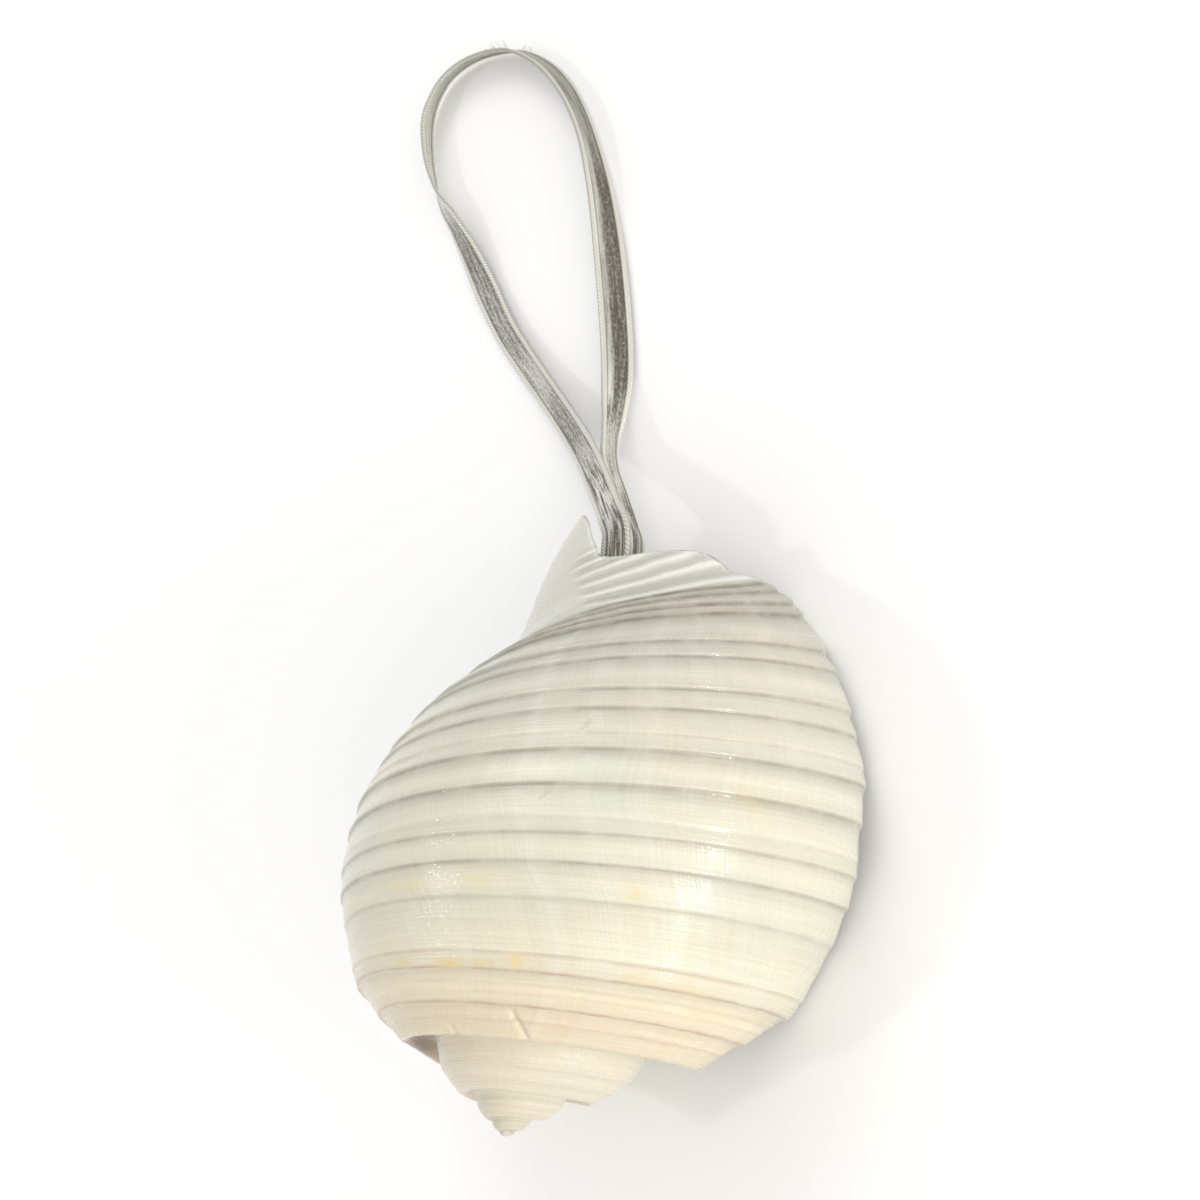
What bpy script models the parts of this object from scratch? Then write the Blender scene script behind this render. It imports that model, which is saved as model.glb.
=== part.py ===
"""A tun shell resting on its open side, with the ribbon loop it is hung by.

The shell is one solid. Its growing edge is drawn once, then copied back
along a spiral: every copy is turned about the shell's axis and shrunk
towards the apex. The hollow is a second, smaller spiral that is cut out.
"""
import math

import bmesh
import bpy
from mathutils import Matrix, Vector

for thing in list(bpy.data.objects):
    bpy.data.objects.remove(thing, do_unlink=True)

MM = 0.001

# Growth: each whole turn makes the shell this many times larger.
WHORL_RATIO = 2.314
STEPS_PER_TURN = 36
TURNS = 3.2
LIP_ANGLE = -16.0

# The growing edge from the suture to the tip of the columella.
# Each entry is radius from the axis and height above the apex, in
# millimetres as they are at the lip, then how far the edge lags behind
# the lip there, in degrees of turn.
RIM = [
    (26.2, 17.8, -7),
    (30.7, 15.7, -12),
    (33.4, 18.4, -14),
    (36.6, 21.4, -15),
    (39.0, 22.0, -15),
    (41.0, 24.4, -15),
    (43.6, 27.2, -15),
    (46.2, 27.9, -15),
    (47.6, 31.6, -14),
    (49.0, 35.0, -12),
    (50.6, 40.0, -10),
    (51.4, 41.6, -9),
    (52.2, 42.7, -8),
]
WHORL_MEETS = (53.0, 46.6, -5)
BODY = [
    (54.0, 47.6, -4),
    (54.4, 52.9, -3),
    (55.2, 54.1, -2),
    (55.5, 58.3, 0),
    (54.9, 62.5, 1),
    (55.7, 63.8, 1),
    (55.2, 66.5, 1),
    (54.2, 69.8, 0),
    (54.8, 71.2, 0),
    (53.8, 75.1, 0),
    (51.8, 79.0, 1),
    (52.2, 80.5, 1),
    (50.1, 83.3, 1),
    (50.3, 85.0, 1),
    (48.7, 88.1, 1),
    (46.4, 90.9, 1),
    (46.3, 92.6, 1),
    (43.6, 94.8, 1),
    (43.3, 96.5, 0),
    (41.0, 99.1, -2),
    (38.0, 101.3, -3),
]
NECK = [
    (34.2, 105.2, -3),
    (31.2, 107.4, 3),
    (29.9, 109.4, 13),
    (27.4, 110.8, 20),
    (26.4, 113.0, 24),
    (24.7, 117.1, 37),
    (22.5, 123.6, 79),
    (21.4, 131.0, 91),
    (19.6, 140.5, 101),
    (16.9, 148.0, 116),
    (12.6, 153.5, 144),
]
AXIS_END = (0.0, 146.0, 144)

# The hollow's outline, drawn in the same way, all at the lip's own angle.
HOLLOW = [
    (26.9, 20.4), (32.8, 22.3), (40.6, 28.3), (45.6, 34.8), (49.0, 43.5),
    (51.6, 53.0), (52.9, 62.5), (51.3, 70.3), (49.4, 79.0), (45.8, 87.0),
    (41.6, 93.4), (35.6, 99.2), (29.8, 103.4), (25.9, 108.2), (23.0, 113.4),
    (21.3, 118.5), (19.6, 126.4), (13.8, 125.6), (10.8, 113.0), (7.6, 96.0),
    (6.6, 82.0), (8.0, 69.0), (10.4, 57.5), (12.3, 51.0), (15.2, 46.9),
    (19.8, 42.2), (22.4, 37.0), (24.4, 32.0), (25.2, 27.0), (24.7, 22.6),
]
HOLLOW_AHEAD = 30.0
HOLLOW_TURNS = 1.65
HOLLOW_STEP = 12.0

# How the shell lies: which way is up for a shell drawn with its axis
# upright, and where its apex comes to in the part's frame. It is sunk by
# about a third of a millimetre, so that z = 0 cuts small flats to rest on.
REST_UP = (-0.6020, -0.7782, -0.1789)
APEX_MM = (-9.14, -56.32, 33.77)

# The ribbon: a flat band. Each key is a point of its middle line in
# millimetres, then its lean in degrees: 0 lies flat, 90 stands on edge.
RIBBON_WIDTH = 7.0
RIBBON_THICKNESS = 0.8
RIBBON_KEYS = [
    (-1.0, 32.0, 28.0, 3),
    (-0.6, 42.0, 27.4, 3),
    (-1.9, 53.0, 25.6, 3),
    (-7.0, 59.4, 21.6, 8),
    (-14.0, 66.9, 16.4, 9),
    (-21.7, 75.0, 11.2, 13),
    (-30.8, 84.0, 6.6, 19),
    (-39.5, 92.7, 3.6, 21),
    (-47.1, 100.8, 2.2, 19),
    (-53.9, 109.0, 1.7, 15),
    (-60.6, 119.4, 1.6, 10),
    (-65.6, 128.0, 2.3, 25),
    (-70.8, 136.0, 3.2, 44),
    (-75.1, 141.8, 3.7, 58),
    (-78.9, 150.7, 4.0, 71),
    (-81.0, 160.5, 4.0, 74),
    (-80.0, 167.3, 4.0, 72),
    (-75.9, 172.9, 4.0, 76),
    (-68.2, 175.7, 4.0, 82),
    (-57.9, 175.1, 4.0, 86),
    (-49.1, 170.4, 4.0, 84),
    (-42.6, 164.1, 4.0, 84),
    (-37.7, 156.9, 4.0, 84),
    (-33.6, 148.6, 4.0, 80),
    (-30.0, 138.7, 3.9, 70),
    (-27.4, 129.2, 3.7, 59),
    (-25.5, 120.1, 3.3, 46),
    (-23.8, 111.0, 3.0, 38),
    (-21.9, 100.8, 3.2, 40),
    (-20.4, 92.6, 4.2, 56),
    (-19.7, 85.3, 5.3, 80),
    (-18.6, 79.0, 7.2, 97),
    (-16.1, 72.7, 9.6, 97),
    (-11.2, 65.9, 12.6, 97),
    (-5.9, 58.8, 15.8, 99),
    (-2.0, 52.9, 18.6, 102),
    (-0.7, 42.5, 21.0, 103),
    (-1.0, 32.0, 21.4, 103),
]
RIBBON_BETWEEN = 2


def spiral_matrix(degrees):
    """Growth by an angle: a turn about the axis and a change of size."""
    size = WHORL_RATIO ** (degrees / 360.0)
    turn = Matrix.Rotation(math.radians(degrees), 4, "Z")
    return turn @ Matrix.Scale(size, 4)


def edge_point(radius, height, lag=0.0):
    """A point of the growing edge, in metres, apex at the origin."""
    start = Vector((radius * MM, 0.0, height * MM))
    return spiral_matrix(-lag) @ Matrix.Rotation(
        math.radians(LIP_ANGLE), 4, "Z") @ start


def chain(bm, points):
    """Vertices at the points, joined by edges."""
    verts = [bm.verts.new(p) for p in points]
    edges = [bm.edges.new(pair) for pair in zip(verts, verts[1:])]
    return verts, edges


def grow(bm, verts, edges, degrees, steps):
    """Copy a chain along the spiral; returns the vertices of each copy."""
    rows = [verts]
    step = spiral_matrix(degrees / steps)
    for _ in range(steps):
        made = bmesh.ops.extrude_edge_only(bm, edges=edges)
        new = [g for g in made["geom"] if isinstance(g, bmesh.types.BMVert)]
        edges = [g for g in made["geom"] if isinstance(g, bmesh.types.BMEdge)
                 and all(v in new for v in g.verts)]
        bmesh.ops.transform(bm, matrix=step, verts=new)
        order = {}
        for vert in new:
            for edge in vert.link_edges:
                other = edge.other_vert(vert)
                if other in rows[-1]:
                    order[other] = vert
        rows.append([order[v] for v in rows[-1]])
    return rows


def mesh_object(name, bm):
    """Close the mesh up, face it outwards and make it an object."""
    bmesh.ops.remove_doubles(bm, verts=bm.verts[:], dist=0.01 * MM)
    bmesh.ops.dissolve_degenerate(bm, edges=bm.edges[:], dist=0.002 * MM)
    bmesh.ops.triangulate(bm, faces=bm.faces[:])
    bmesh.ops.recalc_face_normals(bm, faces=bm.faces[:])
    mesh = bpy.data.meshes.new(name)
    bm.to_mesh(mesh)
    bm.free()
    item = bpy.data.objects.new(name, mesh)
    bpy.context.scene.collection.objects.link(item)
    return item


def make_outside():
    """The outer form: last turn, spire, apex, and a face at the lip."""
    meet = edge_point(*WHORL_MEETS)
    suture = spiral_matrix(-360.0) @ meet
    edge = [suture] + [edge_point(*p) for p in RIM] + [meet]
    last = len(edge) - 1
    edge += [edge_point(*p) for p in BODY + NECK + [AXIS_END]]
    bm = bmesh.new()
    verts, edges = chain(bm, edge)
    rows = grow(bm, verts, edges, -360.0, STEPS_PER_TURN)
    # The face at the lip: between the edge now and the edge a turn ago.
    now, before = rows[0], rows[-1]
    for i in range(last):
        bm.faces.new((now[i], now[i + 1], before[last]))
    for i in range(last, len(now) - 2):
        bm.faces.new((now[i], now[i + 1], before[i + 1], before[i]))
    axis = [row[-1] for row in rows]
    bm.faces.new([now[-2]] + axis + [before[-2]])
    # The spire: only the part of each older whorl that still shows.
    early = before[:last + 1]
    early_edges = [bm.edges.get(pair) for pair in zip(early, early[1:])]
    steps = round((TURNS - 1.0) * STEPS_PER_TURN)
    spire = grow(bm, early, early_edges, -10.0 * steps, steps)
    inner = [row[0] for row in spire[-STEPS_PER_TURN - 1:]]
    ring = inner + spire[-1][1:]
    apex = bm.verts.new((0.0, 0.0, -0.8 * MM))
    for pair in zip(ring, ring[1:]):
        bm.faces.new((pair[0], pair[1], apex))
    bm.faces.new((ring[-1], ring[0], apex))
    return mesh_object("shell", bm)


def make_hollow():
    """The hollow as a solid, from just past the lip back into the shell."""
    start = spiral_matrix(HOLLOW_AHEAD)
    points = [start @ edge_point(*p) for p in HOLLOW]
    bm = bmesh.new()
    verts, edges = chain(bm, points)
    edges.append(bm.edges.new((verts[-1], verts[0])))
    degrees = HOLLOW_AHEAD + 360.0 * HOLLOW_TURNS
    rows = grow(bm, verts, edges, -degrees, round(degrees / HOLLOW_STEP))
    bm.faces.new(rows[0])
    bm.faces.new(rows[-1])
    return mesh_object("hollow", bm)


def cut(target, tool):
    """Take the tool away from the target and drop the tool."""
    step = target.modifiers.new("cut", "BOOLEAN")
    step.operation = "DIFFERENCE"
    step.solver = "EXACT"
    step.object = tool
    graph = bpy.context.evaluated_depsgraph_get()
    mesh = bpy.data.meshes.new_from_object(target.evaluated_get(graph))
    target.modifiers.clear()
    target.data = mesh
    bpy.data.objects.remove(tool, do_unlink=True)


def lay_down(item):
    """Turn the shell from its upright axis to the way it rests."""
    up = Vector(REST_UP).normalized()
    ahead = (Vector((0.0, 0.0, 1.0)) - up * up.z).normalized()
    side = ahead.cross(up)
    rest = Matrix((side, ahead, up)).to_4x4()
    item.data.transform(Matrix.Translation(Vector(APEX_MM) * MM) @ rest)


def cut_flats(item):
    """Trim what is below z = 0, which leaves small flat spots."""
    bm = bmesh.new()
    bm.from_mesh(item.data)
    bmesh.ops.bisect_plane(
        bm, geom=bm.verts[:] + bm.edges[:] + bm.faces[:], dist=0.001 * MM,
        plane_co=(0.0, 0.0, 0.0), plane_no=(0.0, 0.0, 1.0),
        clear_inner=True)
    rims = [edge for edge in bm.edges if edge.is_boundary]
    bmesh.ops.holes_fill(bm, edges=rims, sides=0)
    bmesh.ops.triangulate(bm, faces=bm.faces[:])
    bmesh.ops.recalc_face_normals(bm, faces=bm.faces[:])
    bm.to_mesh(item.data)
    bm.free()


def between(keys, count):
    """Points of a smooth curve through the keys (Catmull and Rom)."""
    rows = [Vector(key) for key in keys]
    rows = [2 * rows[0] - rows[1]] + rows + [2 * rows[-1] - rows[-2]]
    points = []
    for a, b, c, d in zip(rows, rows[1:], rows[2:], rows[3:]):
        for i in range(count):
            t = i / count
            points.append(0.5 * (2 * b + (c - a) * t
                                 + (2 * a - 5 * b + 4 * c - d) * t ** 2
                                 + (3 * b - a - 3 * c + d) * t ** 3))
    return points + [rows[-2]]


def make_ribbon():
    """A flat band swept along its keys, leaning as each key says."""
    rows = between(RIBBON_KEYS, RIBBON_BETWEEN)
    points = [Vector(row[:3]) * MM for row in rows]
    half_width = 0.5 * RIBBON_WIDTH * MM
    half_thick = 0.5 * RIBBON_THICKNESS * MM
    bm = bmesh.new()
    rings = []
    for i, row in enumerate(rows):
        before, after = points[max(i - 1, 0)], points[min(i + 1, len(rows) - 1)]
        along = (after - before).normalized()
        flat = along.cross(Vector((0.0, 0.0, 1.0))).normalized()
        lean = math.radians(row[3])
        across = flat * math.cos(lean) + flat.cross(along) * math.sin(lean)
        out = along.cross(across)
        corners = [(-1, -1), (1, -1), (1, 1), (-1, 1)]
        rings.append([bm.verts.new(points[i] + across * half_width * a
                                   + out * half_thick * b)
                      for a, b in corners])
    for one, two in zip(rings, rings[1:]):
        for i in range(4):
            j = (i + 1) % 4
            bm.faces.new((one[i], one[j], two[j], two[i]))
    bm.faces.new(rings[0])
    bm.faces.new(rings[-1])
    return mesh_object("ribbon", bm)


def paint(item, name, colour, roughness, metallic=0.0):
    """Give the object a plain material of its own."""
    material = bpy.data.materials.new(name)
    material.use_nodes = True
    surface = material.node_tree.nodes["Principled BSDF"]
    surface.inputs["Base Color"].default_value = (*colour, 1.0)
    surface.inputs["Roughness"].default_value = roughness
    surface.inputs["Metallic"].default_value = metallic
    item.data.materials.clear()
    item.data.materials.append(material)


shell = make_outside()
cut(shell, make_hollow())
lay_down(shell)
cut_flats(shell)
ribbon = make_ribbon()
paint(shell, "shell", (0.76, 0.72, 0.60), 0.38)
paint(ribbon, "ribbon", (0.62, 0.62, 0.56), 0.42, 0.6)
for item in (shell, ribbon):
    print(item.name, len(item.data.polygons), "faces")
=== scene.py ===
# %% [markdown]
# A tun shell made into an ornament: a thin, swollen sea snail's shell with a
# loop of silver ribbon coming out of the notch at its front end. The packed
# model gives the place and size of both pieces. This lesson dresses them:
# the shell gets its fine ribs and lip, the ribbon its rolled edges and weave.

# %% Load the frame
import math

import bmesh
import bpy
import numpy as np
from mathutils import Matrix, Vector


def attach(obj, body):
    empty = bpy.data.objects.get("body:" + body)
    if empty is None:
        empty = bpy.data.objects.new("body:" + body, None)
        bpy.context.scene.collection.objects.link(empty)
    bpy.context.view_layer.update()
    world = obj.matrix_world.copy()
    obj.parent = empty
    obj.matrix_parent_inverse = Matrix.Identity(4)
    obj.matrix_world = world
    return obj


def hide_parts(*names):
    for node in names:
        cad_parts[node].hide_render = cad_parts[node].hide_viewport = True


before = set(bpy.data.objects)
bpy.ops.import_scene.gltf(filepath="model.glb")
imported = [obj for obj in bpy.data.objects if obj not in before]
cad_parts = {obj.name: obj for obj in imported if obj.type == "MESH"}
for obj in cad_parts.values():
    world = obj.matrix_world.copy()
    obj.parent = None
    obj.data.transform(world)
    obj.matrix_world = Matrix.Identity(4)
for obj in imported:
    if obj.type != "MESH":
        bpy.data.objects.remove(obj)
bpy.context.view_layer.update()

MM = 0.001
SCENE = bpy.context.scene
print("pieces in the frame:", sorted(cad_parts))

# %% [markdown]
# The camera comes first, because everything is judged through it. It looks
# down on the shell from its right-hand side, and it is rolled so that the
# front end of the shell points up in the picture. A point to look at and a
# roll say that more plainly than three rotation angles would.

# %% Camera
CAMERA_PLACE = Vector((0.20019, -0.02668, 0.30667))
CAMERA_TARGET = Vector((-0.02302, 0.04696, 0.0))
CAMERA_ROLL = -70.48
CAMERA_LENS = 56.57
camera = bpy.data.objects.new("camera", bpy.data.cameras.new("camera"))
SCENE.collection.objects.link(camera)
camera.location = CAMERA_PLACE
aim = (CAMERA_TARGET - CAMERA_PLACE).to_track_quat("-Z", "Y").to_matrix()
roll = Matrix.Rotation(math.radians(CAMERA_ROLL), 3, "Z")
camera.rotation_euler = (aim @ roll).to_euler()
camera.data.lens = CAMERA_LENS
camera.data.clip_start = 0.01
SCENE.camera = camera
print("camera up:", [round(c, 3) for c in (aim @ roll).col[1]])

# %% [markdown]
# The ribbon is a narrow woven band with rolled, wire-like edges. It lies in
# a loop: flat where it nears the shell, on its edge round the far bend. A
# short list of points, each with a lean, gives its route, and a smooth curve
# runs through them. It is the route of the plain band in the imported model.

# %% Route of the ribbon
RIBBON_KEYS = [
    (-1.0, 32.0, 28.0, 3),
    (-0.6, 42.0, 27.4, 3),
    (-1.9, 53.0, 25.6, 3),
    (-7.0, 59.4, 21.6, 8),
    (-14.0, 66.9, 16.4, 9),
    (-21.7, 75.0, 11.2, 13),
    (-30.8, 84.0, 6.6, 19),
    (-39.5, 92.7, 3.6, 21),
    (-47.1, 100.8, 2.2, 19),
    (-53.9, 109.0, 1.7, 15),
    (-60.6, 119.4, 1.6, 10),
    (-65.6, 128.0, 2.3, 25),
    (-70.8, 136.0, 3.2, 44),
    (-75.1, 141.8, 3.7, 58),
    (-78.9, 150.7, 4.0, 70),
    (-81.0, 160.5, 4.0, 72),
    (-80.0, 167.3, 4.0, 64),
    (-75.9, 172.9, 4.0, 61),
    (-68.2, 175.7, 4.0, 65),
    (-57.9, 175.1, 4.0, 70),
    (-49.1, 170.4, 4.0, 71),
    (-42.6, 164.1, 4.0, 73),
    (-37.7, 156.9, 4.0, 78),
    (-33.6, 148.6, 4.0, 80),
    (-30.0, 138.7, 3.9, 70),
    (-27.4, 129.2, 3.7, 59),
    (-25.5, 120.1, 3.3, 46),
    (-23.8, 111.0, 3.0, 38),
    (-21.9, 100.8, 3.2, 40),
    (-20.4, 92.6, 4.2, 56),
    (-19.7, 85.3, 5.3, 80),
    (-18.6, 79.0, 7.2, 97),
    (-16.1, 72.7, 9.6, 97),
    (-11.2, 65.9, 12.6, 97),
    (-5.9, 58.8, 15.8, 99),
    (-2.0, 52.9, 18.6, 102),
    (-0.7, 42.5, 21.0, 103),
    (-1.0, 32.0, 21.4, 103),
]


def curve_through(keys, count):
    """Points of a smooth curve through the keys (Catmull and Rom)."""
    rows = [Vector(key) for key in keys]
    rows = [2 * rows[0] - rows[1]] + rows + [2 * rows[-1] - rows[-2]]
    points = []
    for a, b, c, d in zip(rows, rows[1:], rows[2:], rows[3:]):
        for i in range(count):
            t = i / count
            points.append(0.5 * (2 * b + (c - a) * t
                                 + (2 * a - 5 * b + 4 * c - d) * t ** 2
                                 + (3 * b - a - 3 * c + d) * t ** 3))
    return points + [rows[-2]]


ribbon_rows = curve_through(RIBBON_KEYS, 6)
ribbon_path = [Vector(row[:3]) * MM for row in ribbon_rows]

# %% [markdown]
# The band's cross-section is one closed ring: thin and slightly waved in the
# middle, round at both rims. The ring is extruded from station to station,
# and each new ring is moved by the matrix that leads from one station's
# frame to the next. Extruding an edge loop keeps the band one clean skin.

# %% The ribbon
RIM_PROFILE = [
    (-3.50, 0.00), (-3.45, 0.20), (-3.30, 0.35), (-3.05, 0.43), (-2.75, 0.43),
    (-2.45, 0.36), (-2.25, 0.24), (-2.12, 0.15),
]
MIDDLE_STEPS = 12
MIDDLE_HALF = 0.13
CREASES = [
    (12.0, 50.0, 1.2, 0.5, 0.34), (14.0, 46.0, -0.9, -0.6, 0.28),
    (60.0, 105.0, -0.9, -0.2, 0.10), (205.0, 258.0, -0.6, 0.4, 0.12),
    (258.0, 284.0, 0.9, -0.9, 0.32), (296.0, 350.0, 0.9, -0.2, 0.34),
    (304.0, 352.0, -1.2, -0.7, 0.30),
]
CREASE_HALF = 0.55
FIBRE_RADIUS = 0.10 * MM
FIBRE_STEPS = 5
FRAY = [
    (188.0, 1, -0.8, 1.5, 9), (190.5, 1, -1.2, 2.2, -12), (192.0, 1, -0.6, 1.8, 14),
    (193.5, 1, -1.0, 2.6, 16), (194.5, -1, -0.9, 2.3, -10), (195.5, 1, -1.3, 2.8, 12),
    (196.5, 1, -0.5, 2.2, -16), (198.0, -1, -1.1, 2.0, 8), (200.0, 1, -0.9, 1.6, 12),
    (206.0, 1, 0.8, 1.4, -9), (211.0, -1, -0.8, 1.2, 10),
]   # (run, side, out, length, bend a step) in mm and degrees


def section_ring():
    """The band's section as one ring of (across, out) points."""
    middle = [(-2.0 + 4.0 * i / MIDDLE_STEPS, MIDDLE_HALF) for i in range(MIDDLE_STEPS + 1)]
    top = RIM_PROFILE + middle + [(-a, b) for a, b in RIM_PROFILE[::-1]]
    return top + [(a, -b) for a, b in top[-2:0:-1]]


def crease(run, across):
    """How far the thin middle of the band is bent up by its creases."""
    lift = 0.0
    for start, end, side_a, side_b, rise in CREASES:
        share = (run - start) / (end - start)
        if 0.0 < share < 1.0:
            off = (across - side_a - (side_b - side_a) * share) / CREASE_HALF
            lift += rise * math.sin(math.pi * share) ** 0.5 * math.exp(-off * off)
    return lift


def station_matrix(i):
    """The ribbon's frame at a station: across, out and along its path."""
    last = len(ribbon_path) - 1
    before, after = ribbon_path[max(i - 1, 0)], ribbon_path[min(i + 1, last)]
    along = (after - before).normalized()
    flat = along.cross(Vector((0.0, 0.0, 1.0))).normalized()
    lean = math.radians(ribbon_rows[i][3])
    across = flat * math.cos(lean) + flat.cross(along) * math.sin(lean)
    out = along.cross(across)
    place = Matrix((across, out, along)).transposed().to_4x4()
    place.translation = ribbon_path[i]
    return place


def extruded_copy(bm, verts, edges, matrix):
    """Extrude edges once, move the copy, and return it in the same order."""
    made = bmesh.ops.extrude_edge_only(bm, edges=edges)["geom"]
    new_verts = {g for g in made if isinstance(g, bmesh.types.BMVert)}
    new_edges = [g for g in made if isinstance(g, bmesh.types.BMEdge)
                 and g.verts[0] in new_verts and g.verts[1] in new_verts]
    bmesh.ops.transform(bm, matrix=matrix, verts=list(new_verts))
    partner = {}
    for vert in new_verts:
        for edge in vert.link_edges:
            if edge.other_vert(vert) not in new_verts:
                partner[edge.other_vert(vert)] = vert
    return [partner[vert] for vert in verts], new_edges


def finished_object(name, bm, smooth=True):
    """Make an object from a bmesh and link it to the scene."""
    mesh = bpy.data.meshes.new(name)
    bm.to_mesh(mesh)
    bm.free()
    mesh.polygons.foreach_set("use_smooth", [smooth] * len(mesh.polygons))
    item = bpy.data.objects.new(name, mesh)
    SCENE.collection.objects.link(item)
    return item


def add_fibre(bm, base, ahead, length, bend):
    """A thin bent wire that ends in a point; returns its vertices."""
    verts = bmesh.ops.create_circle(bm, segments=4, radius=FIBRE_RADIUS)["verts"]
    stand = ahead.to_track_quat("Z", "Y").to_matrix().to_4x4()
    bmesh.ops.transform(bm, matrix=Matrix.Translation(base) @ stand, verts=verts)
    edges = list({edge for vert in verts for edge in vert.link_edges})
    bm.faces.new(verts)
    made, centre = list(verts), base
    turn = Matrix.Rotation(math.radians(bend), 4, ahead.orthogonal())
    for _ in range(FIBRE_STEPS):
        ahead = turn.to_3x3() @ ahead
        after = centre + ahead * length / FIBRE_STEPS
        step = Matrix.Translation(after) @ turn @ Matrix.Translation(-centre)
        verts, edges = extruded_copy(bm, verts, edges, step)
        made, centre = made + verts, after
    bmesh.ops.pointmerge(bm, verts=verts, merge_co=centre)
    return [vert for vert in made if vert.is_valid]


def add_fray(bm, rows, place):
    """A few loose wires at the far bend, where the weave has come apart."""
    for run, side, up, length, bend in FRAY:
        i = min(range(len(rows)), key=lambda k: abs(rows[k][0] - run))
        across, out, along = (station_matrix(i).col[k].to_3d() for k in range(3))
        base = ribbon_path[i] + across * side * 3.2 * MM
        ahead = (across * side * 0.4 + out * up + along * 0.6 * math.cos(run)).normalized()
        for vert in add_fibre(bm, base, ahead, length * MM, bend):
            place[vert] = (run, 2.9 * side)


def make_ribbon():
    """The woven band, with its length and width kept in a UV map."""
    ring = section_ring()
    bm = bmesh.new()
    uv = bm.loops.layers.uv.new("band")
    start = station_matrix(0)
    verts = [bm.verts.new(start @ Vector((a * MM, b * MM, 0.0))) for a, b in ring]
    edges = [bm.edges.new(pair) for pair in zip(verts, verts[1:] + verts[:1])]
    rows, run = [(0.0, verts)], 0.0
    for i in range(1, len(ribbon_path)):
        run += (ribbon_path[i] - ribbon_path[i - 1]).length / MM
        step = station_matrix(i) @ station_matrix(i - 1).inverted()
        verts, edges = extruded_copy(bm, verts, edges, step)
        rows.append((run, verts))
    place = {}
    for i, (run, row) in enumerate(rows):
        out = station_matrix(i).col[1].to_3d()
        for vert, (a, b) in zip(row, ring):
            place[vert] = (run, a)
            vert.co += out * crease(run, a) * MM
    for cap in (rows[0][1], rows[-1][1]):
        bm.faces.new(cap)
    add_fray(bm, rows, place)
    for face in bm.faces:
        for loop in face.loops:
            loop[uv].uv = place[loop.vert]
    bmesh.ops.recalc_face_normals(bm, faces=bm.faces[:])
    return finished_object("silver_ribbon", bm)


ribbon = make_ribbon()
print("ribbon faces:", len(ribbon.data.polygons))

# %% [markdown]
# A snail's shell grows only at its edge, and each part of the edge grows by
# the same share in the same time. So the whole form is one edge, turned
# about an axis and made larger as it turns. The edge is drawn at the lip in
# millimetres: radius, height from the apex, and how far it lags behind.

# %% The growing edge
WHORL_RATIO = 2.314
LIP_ANGLE = -16.0
RIM = [
    (24.2, 20.9, -6), (26.5, 20.4, -8), (28.7, 17.6, -10), (30.3, 15.8, -12),
    (31.9, 16.7, -13), (33.6, 18.5, -14), (36.6, 21.4, -15),
    (40.2, 24.2, -15), (43.6, 27.2, -15), (45.7, 29.4, -15),
    (47.1, 32.4, -14), (48.7, 35.6, -12), (50.4, 40.0, -10), (51.6, 42.7, -8),
]
WHORL_MEETS = (53.0, 46.6, -5)
BODY = [
    (54.4, 52.9, -3), (55.0, 58.0, 0), (54.9, 62.5, 1), (54.3, 69.8, 0),
    (53.3, 75.1, 0), (51.8, 79.0, 1), (50.1, 83.3, 1), (48.3, 87.8, 1),
    (46.5, 90.9, 1), (43.7, 94.8, 1), (41.2, 98.3, -2), (38.0, 101.3, -3),
]
NECK = [
    (34.2, 105.2, -3), (31.2, 107.4, 3), (29.9, 109.4, 13), (27.4, 110.8, 20),
    (26.4, 113.0, 24), (24.7, 117.1, 37), (22.5, 123.6, 79),
    (21.4, 131.0, 91), (19.6, 140.5, 101), (16.9, 148.0, 116),
    (12.6, 153.5, 144),
]
AXIS_END = (0.0, 146.0, 144)


def spiral(degrees):
    """Growth by an angle: a turn about the axis and a change of size."""
    size = WHORL_RATIO ** (degrees / 360.0)
    return Matrix.Rotation(math.radians(degrees), 4, "Z") @ Matrix.Scale(size, 4)


def edge_point(radius, height, lag=0.0):
    """A point of the growing edge, in metres, with the apex at the origin."""
    lip = Matrix.Rotation(math.radians(LIP_ANGLE), 4, "Z")
    return spiral(-lag) @ lip @ Vector((radius * MM, 0.0, height * MM))


# %% [markdown]
# A tun shell is ringed with low ribs. Each is a terrace: it rises in a short
# step and slopes gently off towards the front. They stand on the edge at set
# heights, so one table holds them all: height of the step on the lip, how
# far it rises, and how far it takes to slope away, all in millimetres.

# %% Ribs on the edge
RIBS = [
    (19.2, 0.25, 1.6), (21.8, 0.85, 4.0), (24.0, 0.18, 1.2), (25.5, 0.18, 1.4),
    (27.6, 0.85, 3.2), (30.8, 0.40, 4.0), (41.0, 0.28, 4.0), (47.7, 0.62, 5.0),
    (53.3, 0.50, 5.0), (56.3, 0.20, 3.0), (63.0, 0.78, 5.0), (70.2, 0.82, 3.2),
    (73.8, 0.28, 3.5), (79.3, 0.72, 3.4), (83.8, 0.72, 5.0), (91.3, 0.82, 3.3),
    (95.1, 0.80, 5.0), (101.9, 1.05, 2.3), (104.2, 0.80, 2.2), (106.5, 0.90, 1.9),
    (108.2, 1.10, 3.0),
]
STEP_WIDTH = 0.7
SLOPE_POWER = 1.8
RIBS_FROM_RADIUS = 31.0
FINE_SPACING = 0.27
WIDE_SPACING = 1.25
LOBE_SPACING = 0.6
NEAR_A_STEP = 0.75
LOBE_FROM = 108.0
LOBE_TO = 121.0


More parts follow.
